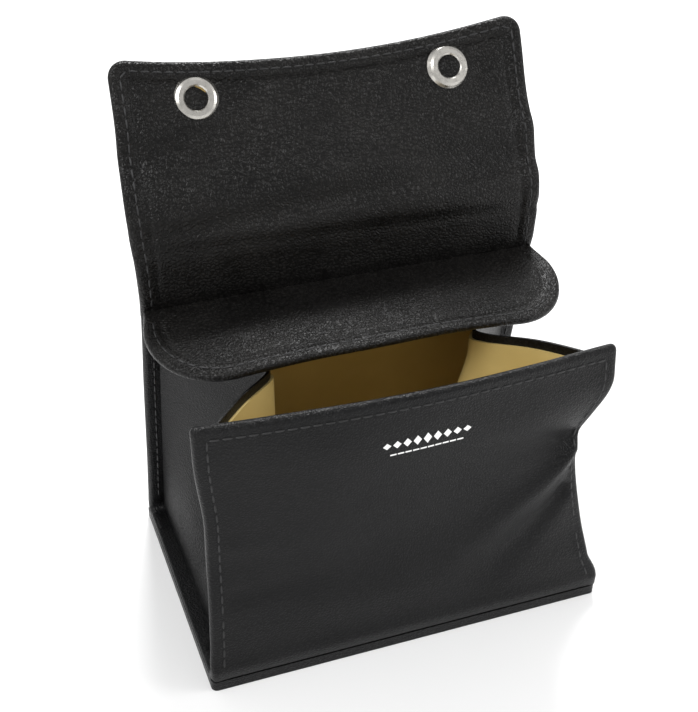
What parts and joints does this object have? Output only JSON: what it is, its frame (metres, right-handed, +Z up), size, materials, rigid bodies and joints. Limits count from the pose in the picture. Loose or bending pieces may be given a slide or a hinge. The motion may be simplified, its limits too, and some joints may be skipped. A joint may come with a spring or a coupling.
{
  "type": "box purse",
  "caption": "Small leather box purse: open tray box with folding side gussets, leaning lid with two press studs, and a short inner flap.",
  "frame": {"origin": "middle of the bounding box on the surface it stands on", "axes": "+X to the right seen from the front, -Y out of the front panel, +Z up"},
  "size_m": [0.108, 0.0798, 0.1349],
  "materials": {
    "black_leather": "satin grain",
    "tan_lining": "smooth",
    "board": "matt",
    "nickel": "polished",
    "brass": "satin"
  },
  "bodies": {
    "box": {"back_leather": "black_leather", "back_board": "board", "back_lining": "tan_lining", "base_leather": "black_leather", "base_board": "board", "base_lining": "tan_lining", "stud_left": "nickel", "stud_right": "nickel", "stud_plate_left": "nickel", "stud_plate_right": "nickel", "gusset_left_leather": "black_leather", "gusset_left_lining": "tan_lining", "gusset_right_leather": "black_leather", "gusset_right_lining": "tan_lining"},
    "front_lower": {"front_lower_leather": "black_leather", "front_lower_lining": "tan_lining"},
    "front_upper": {"front_upper_leather": "black_leather", "front_upper_lining": "tan_lining"},
    "lid_spine": {"lid_spine_leather": "black_leather", "lid_spine_lining": "black_leather"},
    "lid_cover": {"lid_cover_leather": "black_leather", "lid_cover_board": "board", "lid_cover_lining": "black_leather", "snap_cap_left": "nickel", "snap_cap_right": "nickel", "snap_ring_left": "nickel", "snap_ring_right": "nickel", "snap_spring_left": "brass", "snap_spring_right": "brass"},
    "inner_flap": {"inner_flap_leather": "black_leather", "inner_flap_lining": "black_leather"}
  },
  "joints": [
    {"name": "front_fold", "type": "hinge", "parent": "box", "child": "front_lower", "pos_m": [0, -0.0375, 0.0042], "axis": [1, 0, 0], "range_deg": [-25, 8], "deforming": ["gusset_left_leather", "gusset_left_lining", "gusset_right_leather", "gusset_right_lining"]},
    {"name": "waist_fold", "type": "hinge", "parent": "front_lower", "child": "front_upper", "pos_m": [0, -0.03556, 0.04017], "axis": [1, 0, 0], "range_deg": [-10, 6]},
    {"name": "lid_hinge", "type": "hinge", "parent": "box", "child": "lid_spine", "pos_m": [0, 0.01475, 0.08062], "axis": [1, 0, 0], "range_deg": [-130, 95]},
    {"name": "cover_fold", "type": "hinge", "parent": "lid_spine", "child": "lid_cover", "pos_m": [0, 0.01477, 0.09563], "axis": [-1, 0, 0], "range_deg": [-112, 20]},
    {"name": "inner_flap_hinge", "type": "hinge", "parent": "box", "child": "inner_flap", "pos_m": [0, 0.01196, 0.07627], "axis": [1, 0, 0], "range_deg": [-75, 10]}
  ]
}
